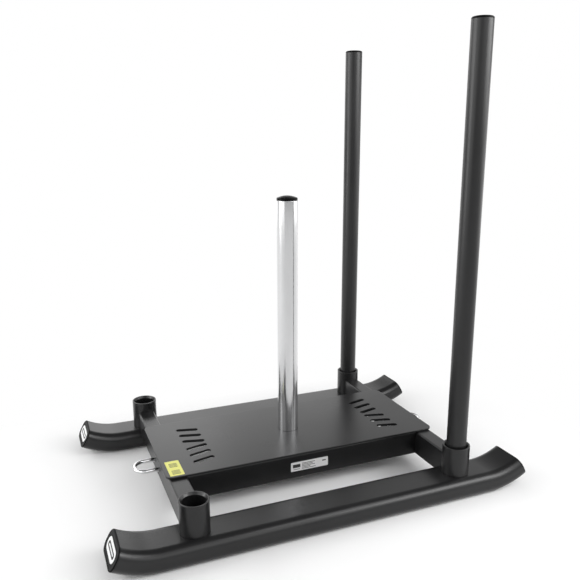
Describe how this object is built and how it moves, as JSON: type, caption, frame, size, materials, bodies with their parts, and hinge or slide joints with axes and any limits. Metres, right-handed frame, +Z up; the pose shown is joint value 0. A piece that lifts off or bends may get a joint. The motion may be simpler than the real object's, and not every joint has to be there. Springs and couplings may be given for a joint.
{
  "type": "weight sled",
  "caption": "Push and pull weight sled with bent tube runners, slotted deck, chrome plate post, tow loops and removable upright push poles in sockets.",
  "frame": {"origin": "on the floor under the middle of the deck", "axes": "+X along the runners towards the push poles, +Y to the right as the pusher faces -X, +Z up along the poles"},
  "size_m": [0.9824, 0.6538, 1.0556],
  "materials": {
    "powder_coat": "satin black powder coat",
    "pole_coat": "satin black powder coat",
    "post_chrome": "polished chrome plate",
    "loop_chrome": "polished chrome plate",
    "zinc_plate": "bright zinc plate",
    "cap_plastic": "black moulded plastic"
  },
  "bodies": {
    "sled": {"left_runner": "powder_coat", "right_runner": "powder_coat", "front_crossbar": "powder_coat", "rear_crossbar": "powder_coat", "left_deck_rail": "powder_coat", "right_deck_rail": "powder_coat", "centre_crossmember": "powder_coat", "deck_plate": "powder_coat", "front_left_socket": "powder_coat", "front_right_socket": "powder_coat", "rear_left_socket": "powder_coat", "rear_right_socket": "powder_coat", "front_left_end_cap": "cap_plastic", "front_right_end_cap": "cap_plastic", "rear_left_end_cap": "cap_plastic", "rear_right_end_cap": "cap_plastic", "weight_post": "post_chrome", "weight_post_cap": "cap_plastic", "post_bolt": "zinc_plate", "post_bolt_washer": "zinc_plate", "front_tow_loop": "loop_chrome", "rear_tow_loop": "loop_chrome", "front_tow_loop_left_washer": "zinc_plate", "front_tow_loop_right_washer": "zinc_plate", "front_tow_loop_left_nut": "zinc_plate", "front_tow_loop_right_nut": "zinc_plate", "rear_tow_loop_left_washer": "zinc_plate", "rear_tow_loop_right_washer": "zinc_plate", "rear_tow_loop_left_nut": "zinc_plate", "rear_tow_loop_right_nut": "zinc_plate"},
    "left_pole": {"left_push_pole": "pole_coat", "left_push_pole_cap": "cap_plastic"},
    "right_pole": {"right_push_pole": "pole_coat", "right_push_pole_cap": "cap_plastic"}
  },
  "joints": [
    {"name": "left_pole_lift", "type": "slide", "parent": "sled", "child": "left_pole", "axis": [0, 0, 1], "range_m": [0, 0.1]},
    {"name": "right_pole_lift", "type": "slide", "parent": "sled", "child": "right_pole", "axis": [0, 0, 1], "range_m": [0, 0.1]}
  ]
}
